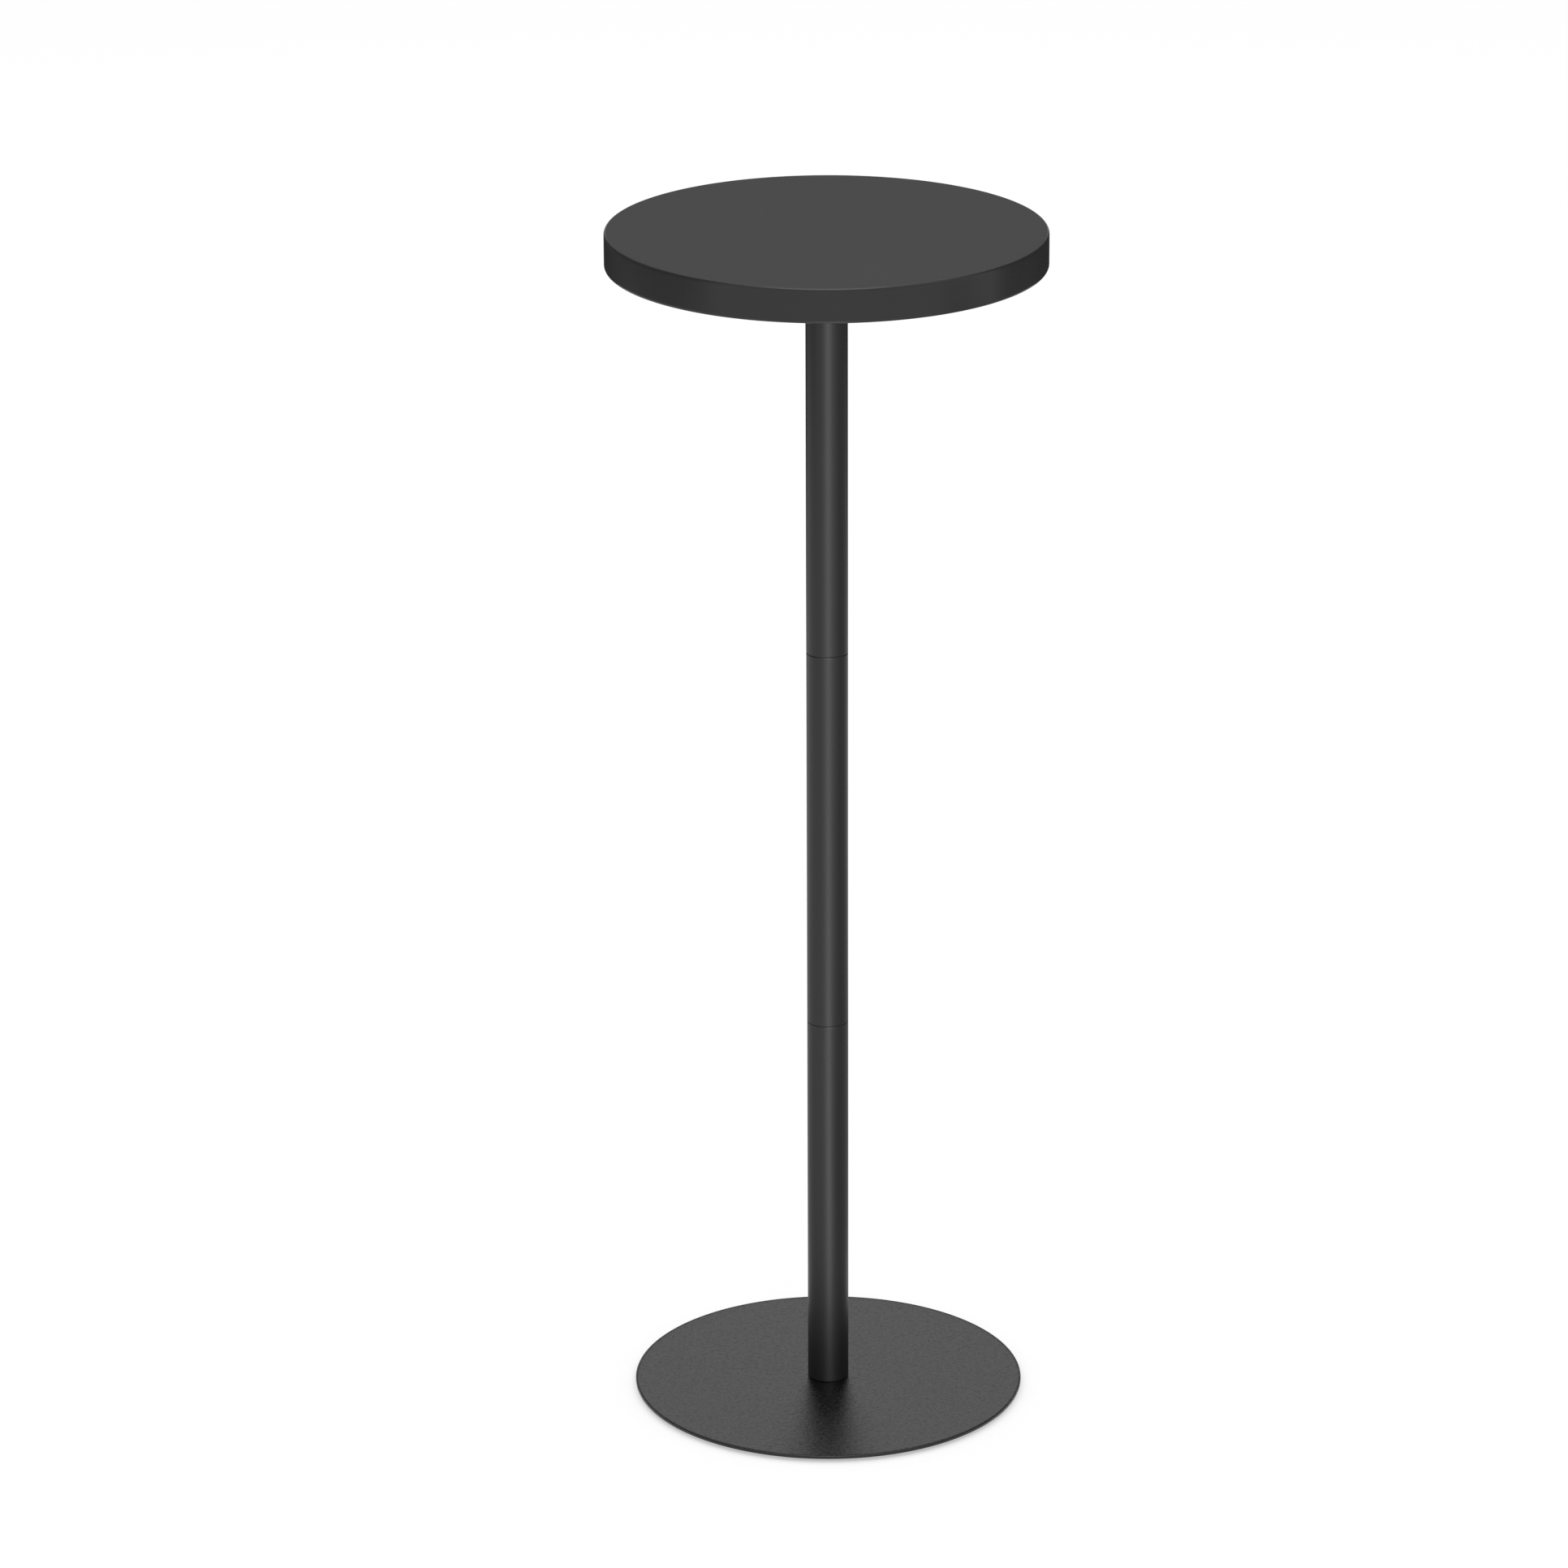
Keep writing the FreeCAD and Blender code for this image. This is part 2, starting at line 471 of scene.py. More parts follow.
@dataclass(frozen=True, kw_only=True)
class CardFace(Finish):
    """Even face of a studio card."""

    # Gives the eye only a darker or brighter patch in a sheen
    tone: Tone

    def shade(self, tree: bpy.types.NodeTree, place: bpy.types.NodeSocket) -> bpy.types.NodeSocket:
        """Give the card one tone in any light.

        Args:
            tree: The material's node tree.
            place: Object coordinates in metres, which this shader does not use.

        Returns:
            The shader's output.
        """
        sockets = {"Color": linear(WHITE), "Strength": self.tone.value}
        return add_node(tree, "ShaderNodeEmission", sockets=sockets).outputs["Emission"]


@dataclass(frozen=True)
class Extent:
    """Reach of a CAD node about the pole's axis."""

    radius: float
    bottom: float
    top: float

    @classmethod
    def of(cls, node: str) -> "Extent":
        """Read a node's reach from the frame.

        Args:
            node: The CAD node's name.

        Returns:
            Its largest distance from the axis along X, and its lowest and highest points.
        """
        low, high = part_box(node)
        return cls(high.x, low.z, high.z)


def take(piece: bpy.types.Object) -> None:
    """Make a piece the only selected object and the active one.

    Args:
        piece: The piece.
    """
    bpy.ops.object.select_all(action="DESELECT")
    piece.select_set(True)
    bpy.context.view_layer.objects.active = piece


@contextmanager
def editing(piece: bpy.types.Object) -> Iterator[None]:
    """Open a piece in edit mode with nothing selected, and close it again.

    Args:
        piece: The piece to edit.

    Returns:
        A context in which the piece is open.
    """
    take(piece)
    bpy.ops.object.mode_set(mode="EDIT")
    bpy.ops.mesh.select_all(action="DESELECT")
    yield
    bpy.ops.object.mode_set(mode="OBJECT")


def pick(piece: bpy.types.Object, kind: Pick, wanted: Callable[..., bool]) -> None:
    """Select the edges or faces of a piece in edit mode that a test wants, and no others.

    Args:
        piece: The piece that is open in edit mode.
        kind: Whether edges or faces are tested.
        wanted: The test, which gets each edge or face.
    """
    bpy.ops.mesh.select_all(action="DESELECT")
    bpy.ops.mesh.select_mode(type=kind.value)
    shape = bmesh.from_edit_mesh(piece.data)
    for element in shape.edges if kind is Pick.EDGES else shape.faces:
        if wanted(element):
            element.select_set(True)
    shape.select_flush_mode()
    bmesh.update_edit_mesh(piece.data)


def on_ring(radius: float, *heights: float) -> Callable[[bmesh.types.BMEdge], bool]:
    """Make a test for edges on circles about the axis.

    Args:
        radius: The circles' radius.
        heights: The circles' heights.

    Returns:
        A test that is true for an edge with both ends on one of the circles.
    """

    def lies(edge: bmesh.types.BMEdge) -> bool:
        """Test one edge.

        Args:
            edge: The edge.

        Returns:
            Whether it lies on a circle.
        """
        ends = [vertex.co for vertex in edge.verts]
        level = abs(ends[0].z - ends[1].z) < NEAR
        on_circle = all(abs(math.hypot(end.x, end.y) - radius) < NEAR for end in ends)
        return level and on_circle and any(abs(ends[0].z - height) < NEAR for height in heights)

    return lies


def is_cap(face: bmesh.types.BMFace) -> bool:
    """Test for a level face that closes the middle of a turned piece."""
    return abs(face.normal.z) > LEVEL and len(face.verts) > SQUARE


def is_top_cap(face: bmesh.types.BMFace) -> bool:
    """Test for the upper one of a turned piece's caps."""
    return is_cap(face) and face.normal.z > 0


def flats(width: float, sides: int) -> float:
    """Turn a width between the corners of two rings into the width between their flat sides."""
    return width * math.cos(math.pi / sides)


def add_blank(name: str, radius: float, bottom: float, top: float, sides: int) -> bpy.types.Object:
    """Add a capped cylinder on the axis, from which a turned piece is shaped.

    Args:
        name: The piece's name.
        radius: Its radius.
        bottom: Its lower height.
        top: Its upper height.
        sides: Its faces round the axis.

    Returns:
        The new object, at the origin.
    """
    bpy.ops.object.select_all(action="DESELECT")
    bpy.ops.mesh.primitive_cylinder_add(
        vertices=sides, radius=radius, depth=top - bottom, location=(0, 0, (top + bottom) / 2)
    )
    piece = bpy.context.active_object
    piece.name = piece.data.name = name
    bpy.ops.object.transform_apply(location=True, rotation=True, scale=True)
    return piece


def lift_cap(rise: float, scale: float) -> None:
    """Extrude the picked cap upwards and narrow its new end towards the axis.

    Args:
        rise: How far the new end stands above the old one.
        scale: The new end's radius as a share of the old one's.
    """
    bpy.ops.mesh.extrude_region_move(TRANSFORM_OT_translate={"value": (0, 0, rise)})
    bpy.ops.transform.resize(value=(scale, scale, 1), center_override=ORIGIN)


def round_rims(
    piece: bpy.types.Object, radius: float, heights: tuple[float, ...], width: float, steps: int = 1
) -> None:
    """Round or chamfer the rims of a turned piece.

    Args:
        piece: The piece.
        radius: The rims' radius.
        heights: The rims' heights.
        width: How far the rounding reaches from the edge.
        steps: Faces across the rounding. One makes a chamfer.
    """
    with editing(piece):
        pick(piece, Pick.EDGES, on_ring(radius, *heights))
        bpy.ops.mesh.bevel(offset=width, segments=steps, affect="EDGES")


def bore_through(piece: bpy.types.Object, wall: float, sides: int) -> None:
    """Bore a capped cylinder from end to end.

    Args:
        piece: The cylinder.
        wall: The width of the ring that stays at each end.
        sides: The cylinder's faces round the axis.
    """
    with editing(piece):
        pick(piece, Pick.FACES, is_cap)
        bpy.ops.mesh.inset(thickness=flats(wall, sides), use_individual=True)
        bpy.ops.mesh.bridge_edge_loops()


def ring_caps(piece: bpy.types.Object, *widths: float) -> None:
    """Divide the flat ends of a turned piece into rings, the first of which keeps the rest flat in shading.

    Args:
        piece: The piece.
        widths: The rings' widths, from the rim inwards.
    """
    with editing(piece):
        pick(piece, Pick.FACES, is_cap)
        for width in widths:
            bpy.ops.mesh.inset(thickness=width, use_individual=True)
        bpy.ops.mesh.poke()


def ring_walls(piece: bpy.types.Object, *heights: float) -> None:
    """Cut rings round a turned piece, which keep its walls straight in shading beside their rounded rims.

    Args:
        piece: The piece.
        heights: The rings' heights.
    """
    with editing(piece):
        for height in heights:
            bpy.ops.mesh.select_all(action="SELECT")
            bpy.ops.mesh.bisect(plane_co=(0, 0, height), plane_no=(0, 0, 1))


def cut(piece: bpy.types.Object, tool: bpy.types.Object) -> None:
    """Take a tool's shape out of a piece, and the tool away.

    Args:
        piece: The piece that is cut.
        tool: The shape that is taken out.
    """
    modifier = piece.modifiers.new("cut", "BOOLEAN")
    modifier.operation = "DIFFERENCE"
    modifier.solver = "EXACT"
    modifier.object = tool
    take(piece)
    bpy.ops.object.modifier_apply(modifier=modifier.name)
    bpy.data.objects.remove(tool)


def cut_key_socket(piece: bpy.types.Object, across: float, bottom: float, depth: float) -> None:
    """Cut a socket for a hexagon key into the lower end of a turned piece.

    Args:
        piece: The piece.
        across: The socket's width across its flats.
        bottom: The height of the piece's lower end.
        depth: The socket's depth.
    """
    corner = across / math.sqrt(3)
    cut(piece, add_blank("key_socket", corner, bottom - OVERCUT, bottom + depth, HEXAGON))


def finish_mesh(piece: bpy.types.Object) -> None:
    """Merge a piece's doubles, turn its faces outwards and shade it smooth but for its sharp edges.

    Args:
        piece: The shaped piece.
    """
    with editing(piece):
        bpy.ops.mesh.select_all(action="SELECT")
        bpy.ops.mesh.remove_doubles(threshold=NEAR)
        bpy.ops.mesh.normals_make_consistent(inside=False)
    take(piece)
    bpy.ops.object.shade_smooth_by_angle(angle=SMOOTH_ANGLE)


def shift(piece: bpy.types.Object, away: tuple[float, float, float]) -> None:
    """Move a piece's mesh and leave its object at the origin.

    Args:
        piece: The piece.
        away: How far it goes along X, Y and Z.
    """
    take(piece)
    bpy.ops.transform.translate(value=away)
    bpy.ops.object.transform_apply(location=True, rotation=True, scale=True)


def copy_of(piece: bpy.types.Object, name: str) -> bpy.types.Object:
    """Copy a piece with a mesh of its own.

    Args:
        piece: The piece to copy.
        name: The copy's name.

    Returns:
        The copy, in the same place.
    """
    take(piece)
    bpy.ops.object.duplicate(linked=False)
    copy = bpy.context.active_object
    copy.name = copy.data.name = name
    return copy


def copies_around(piece: bpy.types.Object, count: int) -> list[bpy.types.Object]:
    """Copy a piece evenly round the axis.

    Args:
        piece: The first piece, whose name ends in 1.
        count: How many pieces there are in the end.

    Returns:
        The first piece and its copies.
    """
    pieces = [piece]
    for index in range(1, count):
        pieces.append(copy_of(piece, f"{piece.name[:-1]}{index + 1}"))
        bpy.ops.transform.rotate(
            value=math.tau * index / count, orient_axis="Z", center_override=ORIGIN
        )
        bpy.ops.object.transform_apply(location=True, rotation=True, scale=True)
    return pieces


def hand_over(piece: bpy.types.Object, finish: Finish, node: str) -> None:
    """Give a piece its finish and its body, and let it stand for its CAD node.

    Args:
        piece: The finished mesh.
        finish: Its finish.
        node: The CAD node that it stands for.
    """
    piece.data.materials.clear()
    piece.data.materials.append(finish.material)
    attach(piece, BODY)
    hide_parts(node)
    LOG.info("%s stands for %s with %d faces, %s", piece.name, node, len(piece.data.polygons), finish.name)


def keep_node(node: str, finish: Finish) -> None:
    """Keep a CAD node's mesh and give it a finish.

    Args:
        node: The CAD node's name.
        finish: Its finish.
    """
    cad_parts[node].material_slots[0].material = finish.material
    LOG.info("%s keeps its CAD mesh, %s", node, finish.name)


@dataclass(frozen=True)
class Thread:
    """A right-hand screw thread."""

    radius: float
    pitch: float
    depth: float
    # Mouth of the groove as a share of the pitch. The rest is the crest
    mouth: float = 0.85
    steps: int = 48

    def add_groove(self, bottom: float, top: float) -> bpy.types.Object:
        """Sweep the groove's triangle along the helix.

        Args:
            bottom: The height at which the groove starts.
            top: The height that it at least reaches.

        Returns:
            The groove as a closed body.
        """
        reach = self.depth + OVERCUT
        # An even triangle is one and a half times as tall as its corners are far from its middle
        corner = reach / 1.5
        bpy.ops.object.select_all(action="DESELECT")
        bpy.ops.mesh.primitive_circle_add(
            vertices=TRIANGLE,
            radius=corner,
            location=(self.radius - self.depth + corner, 0, bottom),
            rotation=(math.pi / 2, -math.pi / 2, 0),
        )
        groove = bpy.context.active_object
        bpy.ops.object.transform_apply(location=True, rotation=True, scale=True)
        width = self.mouth * self.pitch * reach / self.depth
        with editing(groove):
            bpy.ops.mesh.select_all(action="SELECT")
            squeeze = width / (corner * math.sqrt(3))
            bpy.ops.transform.resize(value=(1, 1, squeeze), center_override=(0, 0, bottom))
        screw = groove.modifiers.new("helix", "SCREW")
        screw.axis = "Z"
        screw.screw_offset = self.pitch
        screw.iterations = math.ceil((top - bottom) / self.pitch)
        screw.steps = screw.render_steps = self.steps
        take(groove)
        bpy.ops.object.modifier_apply(modifier=screw.name)
        with editing(groove):
            bpy.ops.mesh.select_all(action="SELECT")
            bpy.ops.mesh.remove_doubles(threshold=NEAR)
            bpy.ops.mesh.fill_holes(sides=TRIANGLE)
            bpy.ops.mesh.normals_make_consistent(inside=False)
        return groove

    def cut_into(self, piece: bpy.types.Object, bottom: float, top: float) -> None:
        """Cut the thread into a plain shank between two heights."""
        cut(piece, self.add_groove(bottom, top))


# The table's one machine thread: 8 mm across with a pitch of 1.25 mm
MACHINE_THREAD = Thread(radius=4.0 * MM, pitch=1.25 * MM, depth=0.75 * MM)


@dataclass
class WoodScrew:
    """One of the countersunk wood screws with a cross recess, whose heads point down."""

    count: int = 4
    reach: Extent = field(default_factory=lambda: Extent.of("flange_screws"))
    thread: Thread = Thread(radius=2.1 * MM, pitch=1.8 * MM, depth=0.6 * MM, mouth=0.7)
    head_radius: float = 4.0 * MM
    tip_radius: float = 0.3 * MM
    tip_length: float = 4.0 * MM
    plain_length: float = 4.5 * MM
    recess_length: float = 4.4 * MM
    recess_width: float = 1.1 * MM
    recess_depth: float = 2.0 * MM
    # Size of the recess at its bottom as a share of its mouth
    recess_taper: float = 0.5
    sides: int = 48

    @property
    def circle(self) -> float:
        """Radius of the circle on which the screws stand."""
        return self.reach.radius - self.head_radius

    def add_plain(self, name: str, growth: float = 0.0) -> bpy.types.Object:
        """Turn the screw without its thread and recess, on the axis.

        Args:
            name: The object's name.
            growth: How much wider it is than the screw, all round.

        Returns:
            The plain screw, or the hole that it needs.
        """
        head, shank, tip = (
            radius + growth for radius in (self.head_radius, self.thread.radius, self.tip_radius)
        )
        neck = self.reach.bottom + self.head_radius - self.thread.radius
        plain = add_blank(name, head, self.reach.bottom, neck, self.sides)
        with editing(plain):
            pick(plain, Pick.FACES, is_top_cap)
            bpy.ops.transform.resize(value=(shank / head, shank / head, 1), center_override=ORIGIN)
            lift_cap(self.reach.top - self.tip_length - neck, 1.0)
            lift_cap(self.tip_length + growth, tip / shank)
        return plain

    def cut_recess(self, screw: bpy.types.Object) -> None:
        """Cut the two arms of the cross recess into the head.

        Args:
            screw: The screw on the axis.
        """
        for turn in (0, math.pi / 2):
            # Half of the block stands out of the head's face, on which it is centred
            bpy.ops.object.select_all(action="DESELECT")
            bpy.ops.mesh.primitive_cube_add(
                size=1,
                location=(0, 0, self.reach.bottom),
                rotation=(0, 0, turn),
                scale=(self.recess_length, self.recess_width, 2 * self.recess_depth),
            )
            arm = bpy.context.active_object
            bpy.ops.object.transform_apply(location=True, rotation=True, scale=True)
            with editing(arm):
                pick(arm, Pick.FACES, lambda face: face.normal.z > LEVEL)
                bpy.ops.transform.resize(
                    value=(self.recess_taper, self.recess_taper, 1), center_override=ORIGIN
                )
            cut(screw, arm)

    def build(self, name: str) -> bpy.types.Object:
        """Turn the screw, cut its thread and recess, and set it on its circle.

        Args:
            name: The piece's name.

        Returns:
            The screw on the X axis.
        """
        screw = self.add_plain(name)
        self.thread.cut_into(screw, self.reach.bottom + self.plain_length, self.reach.top)
        self.cut_recess(screw)
        shift(screw, (self.circle, 0, 0))
        finish_mesh(screw)
        return screw


@dataclass
class Tabletop:
    """The round board, whose edge is sanded and sprayed smoother than its faces."""

    finish: Finish
    edge_finish: Finish
    screw: WoodScrew
    reach: Extent = field(default_factory=lambda: Extent.of("tabletop"))
    edge_radius: float = 1.5 * MM
    edge_steps: int = 6
    sides: int = 256
    # Widths of the rings on the flat faces, from the rim inwards
    rings: tuple[float, ...] = (0.5 * MM, 40 * MM, 30 * MM)
    # How far from the board's faces the rings lie that keep its wall straight in shading
    straight: float = 2.0 * MM
    hole_room: float = 0.05 * MM

    def build(self) -> bpy.types.Object:
        """Turn the board, ease its two edges and drill it for the screws.

        Returns:
            The board.
        """
        bottom, top = self.reach.bottom, self.reach.top
        board = add_blank("tabletop_board", self.reach.radius, bottom, top, self.sides)
        round_rims(board, self.reach.radius, (bottom, top), self.edge_radius, self.edge_steps)
        ring_caps(board, *self.rings)
        ring_walls(board, bottom + self.straight, top - self.straight)
        hole = self.screw.add_plain("screw_hole_1", self.hole_room)
        shift(hole, (self.screw.circle, 0, 0))
        for tool in copies_around(hole, self.screw.count):
            cut(board, tool)
        finish_mesh(board)
        return board

    def dress(self) -> None:
        """Make the board, hand it over and give its edge the smoother finish."""
        board = self.build()
        hand_over(board, self.finish, "tabletop")
        board.data.materials.append(self.edge_finish.material)
        inner = self.reach.radius - self.straight
        with editing(board):
            pick(
                board,
                Pick.FACES,
                lambda face: abs(face.normal.z) < LEVEL and face.calc_center_median().xy.length > inner,
            )
            board.active_material_index = 1
            bpy.ops.object.material_slot_assign()


@dataclass
class Mount:
    """The flange under the board, with its welded stud and its screws."""

    coat: Finish
    zinc: Finish
    screw: WoodScrew
    reach: Extent = field(default_factory=lambda: Extent.of("flange_stud"))
    thread: Thread = MACHINE_THREAD
    chamfer: float = 1.0 * MM
    sides: int = 64

    def build_stud(self) -> bpy.types.Object:
        """Turn the stud and thread it up to the flange.

        Returns:
            The stud.
        """
        flange = Extent.of("top_flange")
        bottom, top = self.reach.bottom, self.reach.top
        stud = add_blank("flange_mount_stud", self.thread.radius, bottom, top, self.sides)
        round_rims(stud, self.thread.radius, (bottom,), self.chamfer)
        self.thread.cut_into(stud, bottom - self.thread.pitch, flange.bottom - self.thread.pitch)
        finish_mesh(stud)
        return stud

    def dress(self) -> None:
        """Finish the flange, and make its stud and screws and hand them over."""
        keep_node("top_flange", self.coat)
        hand_over(self.build_stud(), self.zinc, "flange_stud")
        for screw in copies_around(self.screw.build("flange_screw_1"), self.screw.count):
            hand_over(screw, self.zinc, "flange_screws")


@dataclass
class Pole:
    """Three tubes in line with a tapped plug in each end, joined by headless studs."""

    finish: Finish
    zinc: Finish
    wall: float = 1.2 * MM
    end_rounding: float = 0.4 * MM
    end_steps: int = 3
    sides: int = 128
    # How far from the tube's ends the rings lie that keep its wall straight in shading
    straight: float = 1.0 * MM
    thread: Thread = MACHINE_THREAD
    stud_chamfer: float = 1.0 * MM
    stud_sides: int = 64
    socket_across: float = 4.0 * MM
    socket_depth: float = 4.0 * MM

    def build_tubes(self) -> dict[Length, bpy.types.Object]:
        """Bore the lower tube, break its outer ends and copy it upwards.

        Returns:
            The three tubes.
        """
        reaches = {length: Extent.of(f"{length.value}_tube") for length in Length}
        first = reaches[Length.LOWER]
        lower = add_blank("lower_pole_tube", first.radius, first.bottom, first.top, self.sides)
        bore_through(lower, self.wall, self.sides)
        round_rims(lower, first.radius, (first.bottom, first.top), self.end_rounding, self.end_steps)
        ring_walls(lower, first.bottom + self.straight, first.top - self.straight)
        finish_mesh(lower)
        tubes = {Length.LOWER: lower}
        for length in (Length.MIDDLE, Length.UPPER):
            tubes[length] = copy_of(lower, f"{length.value}_pole_tube")
            shift(tubes[length], (0, 0, reaches[length].bottom - first.bottom))
        return tubes

    def build_studs(self) -> dict[Length, bpy.types.Object]:
        """Turn and thread the lower joint's stud, cut its key socket and copy it to the upper joint.

        Returns:
            The two studs, by the joint that they hold.
        """
        reaches = {joint: Extent.of(f"{joint.value}_joint_stud") for joint in (Length.LOWER, Length.UPPER)}
        first = reaches[Length.LOWER]
        lower = add_blank("lower_threaded_stud", self.thread.radius, first.bottom, first.top, self.stud_sides)
        round_rims(lower, self.thread.radius, (first.bottom, first.top), self.stud_chamfer)
        self.thread.cut_into(lower, first.bottom - self.thread.pitch, first.top + self.thread.pitch)
        cut_key_socket(lower, self.socket_across, first.bottom, self.socket_depth)
        finish_mesh(lower)
        upper = copy_of(lower, "upper_threaded_stud")
        shift(upper, (0, 0, reaches[Length.UPPER].bottom - first.bottom))
        return {Length.LOWER: lower, Length.UPPER: upper}

    def dress(self) -> list[bpy.types.Object]:
        """Make the tubes and studs and hand them over, and finish the plugs inside the tubes.

        Returns:
            The tubes.
        """
        tubes = self.build_tubes()
        for length, tube in tubes.items():
            hand_over(tube, self.finish, f"{length.value}_tube")
            keep_node(f"{length.value}_tube_bottom_plug", self.zinc)
            keep_node(f"{length.value}_tube_top_plug", self.zinc)
        for joint, stud in self.build_studs().items():
            hand_over(stud, self.zinc, f"{joint.value}_joint_stud")
        return list(tubes.values())


@dataclass
class Foot:
    """The foot plate, its bolt and its six floor pads."""

    finish: Finish
    zinc: Finish
    foam: Finish
    reach: Extent = field(default_factory=lambda: Extent.of("base_plate"))
    hole_radius: float = 4.25 * MM
    edge_radius: float = 0.6 * MM
    edge_steps: int = 6
    sides: int = 256
    # How far from the plate's edges the rings lie that keep its faces straight in shading
    straight: float = 0.8 * MM
    bolt: Extent = field(default_factory=lambda: Extent.of("base_bolt"))
    thread: Thread = MACHINE_THREAD
    head_chamfer: float = 0.4 * MM
    tip_chamfer: float = 1.0 * MM
    bolt_sides: int = 64
    socket_across: float = 5.0 * MM
    socket_depth: float = 3.0 * MM
    pads: Extent = field(default_factory=lambda: Extent.of("floor_pads"))
    pad_count: int = 6
    pad_radius: float = 11.0 * MM
    pad_rounding: float = 0.4 * MM
    pad_steps: int = 4
    pad_sides: int = 64
    # Rings of a pad's side by their share of its height, and how far they stand out under the load
    pad_bulge: tuple[tuple[float, float], ...] = ((0.3, 1.008), (0.55, 1.014), (0.8, 1.009))
    pad_fill: float = 1.0

    def build_plate(self) -> bpy.types.Object:
        """Bore the plate for its bolt and round its edges.

        Returns:
            The plate.
        """
        bottom, top = self.reach.bottom, self.reach.top
        plate = add_blank("foot_plate", self.reach.radius, bottom, top, self.sides)
        bore_through(plate, self.reach.radius - self.hole_radius, self.sides)
        round_rims(plate, self.reach.radius, (bottom, top), self.edge_radius, self.edge_steps)
        ring_walls(plate, bottom + self.straight, top - self.straight)
        with editing(plate):
            pick(plate, Pick.FACES, lambda face: abs(face.normal.z) > LEVEL)
            bpy.ops.mesh.inset(thickness=self.straight)
        finish_mesh(plate)
        return plate

    def build_bolt(self) -> bpy.types.Object:
        """Turn the low-headed bolt, thread it above the plate and cut its key socket.

        Returns:
            The bolt.
        """
        bottom, seat, top = self.bolt.bottom, self.reach.bottom, self.bolt.top
        bolt = add_blank("foot_bolt", self.bolt.radius, bottom, seat, self.bolt_sides)
        with editing(bolt):
            pick(bolt, Pick.FACES, is_top_cap)
            bpy.ops.mesh.inset(thickness=flats(self.bolt.radius - self.thread.radius, self.bolt_sides))
            lift_cap(top - seat, 1.0)
        round_rims(bolt, self.bolt.radius, (bottom,), self.head_chamfer)
        round_rims(bolt, self.thread.radius, (top,), self.tip_chamfer)
        self.thread.cut_into(bolt, self.reach.top + self.thread.pitch, top + self.thread.pitch)
        cut_key_socket(bolt, self.socket_across, bottom, self.socket_depth)
        finish_mesh(bolt)
        return bolt

    def build_pad(self) -> bpy.types.Object:
        """Cut one pad from the sheet and let its side bulge under the table's weight.

        Returns:
            The pad on the X axis.
        """
        bottom, top = self.pads.bottom, self.pads.top
        pad = add_blank("floor_pad_1", self.pad_radius, bottom, top, self.pad_sides)
        round_rims(pad, self.pad_radius, (bottom,), self.pad_rounding, self.pad_steps)
        ring_caps(pad, self.pad_rounding)
        for share, bulge in self.pad_bulge:
            height = bottom + share * (top - bottom)
            ring_walls(pad, height)
            with editing(pad):
                pick(pad, Pick.EDGES, on_ring(self.pad_radius, height))
                bpy.ops.transform.resize(value=(bulge, bulge, 1), center_override=(0, 0, height))
        shift(pad, (self.pads.radius - self.pad_radius, 0, 0))
        finish_mesh(pad)
        return pad

    def dress(self) -> None:
        """Make the plate, the bolt and the pads and hand them over."""
        hand_over(self.build_plate(), self.finish, "base_plate")
        hand_over(self.build_bolt(), self.zinc, "base_bolt")
        for pad in copies_around(self.build_pad(), self.pad_count):
            hand_over(pad, self.foam, "floor_pads")


@dataclass
class Camera:
    """The camera that the photograph was taken with, worked out from the table's outlines."""

    distance: float = 3635 * MM
    height: float = 1662.5 * MM
    pitch: float = math.radians(19.481)
    yaw: float = math.radians(-0.394)
    roll: float = math.radians(-0.221)
    focal_pixels: float = 8236
    frame_pixels: float = 1932
    sensor: float = 36.0

    def set_up(self) -> None:
        """Stand the camera before the table and make it the scene's own."""
        data = bpy.data.cameras.new("photo_camera")
        data.sensor_width = self.sensor
        data.lens = self.focal_pixels / self.frame_pixels * self.sensor
        camera = bpy.data.objects.new("photo_camera", data)
        bpy.context.scene.collection.objects.link(camera)
        turn = Euler((math.pi / 2 - self.pitch, 0, -self.yaw)).to_matrix()
        turn = turn @ Matrix.Rotation(self.roll, 3, "Z")
        camera.matrix_world = Matrix.Translation((0, -self.distance, self.height)) @ turn.to_4x4()
        bpy.context.scene.camera = camera


@dataclass(frozen=True)
class Softbox:
    """A rectangular softbox, as bright as a white card times its radiance."""

    name: str
    place: tuple[float, float, float]
    target: tuple[float, float, float]
    width: float
    height: float
    radiance: float

    def set_up(self) -> bpy.types.Object:
        """Hang the softbox and turn it to its target.

        Returns:
            The lamp.
        """
        data = bpy.data.lights.new(self.name, "AREA")
        data.shape = "RECTANGLE"
        data.size = self.width
        data.size_y = self.height
        # The watts that an even face of this size and radiance gives off
        data.energy = self.radiance * math.pi * self.width * self.height
        lamp = bpy.data.objects.new(self.name, data)
        bpy.context.scene.collection.objects.link(lamp)
        away = Vector(self.target) - Vector(self.place)
        turn = away.to_track_quat("-Z", "Y").to_matrix().to_4x4()
        lamp.matrix_world = Matrix.Translation(self.place) @ turn
        return lamp


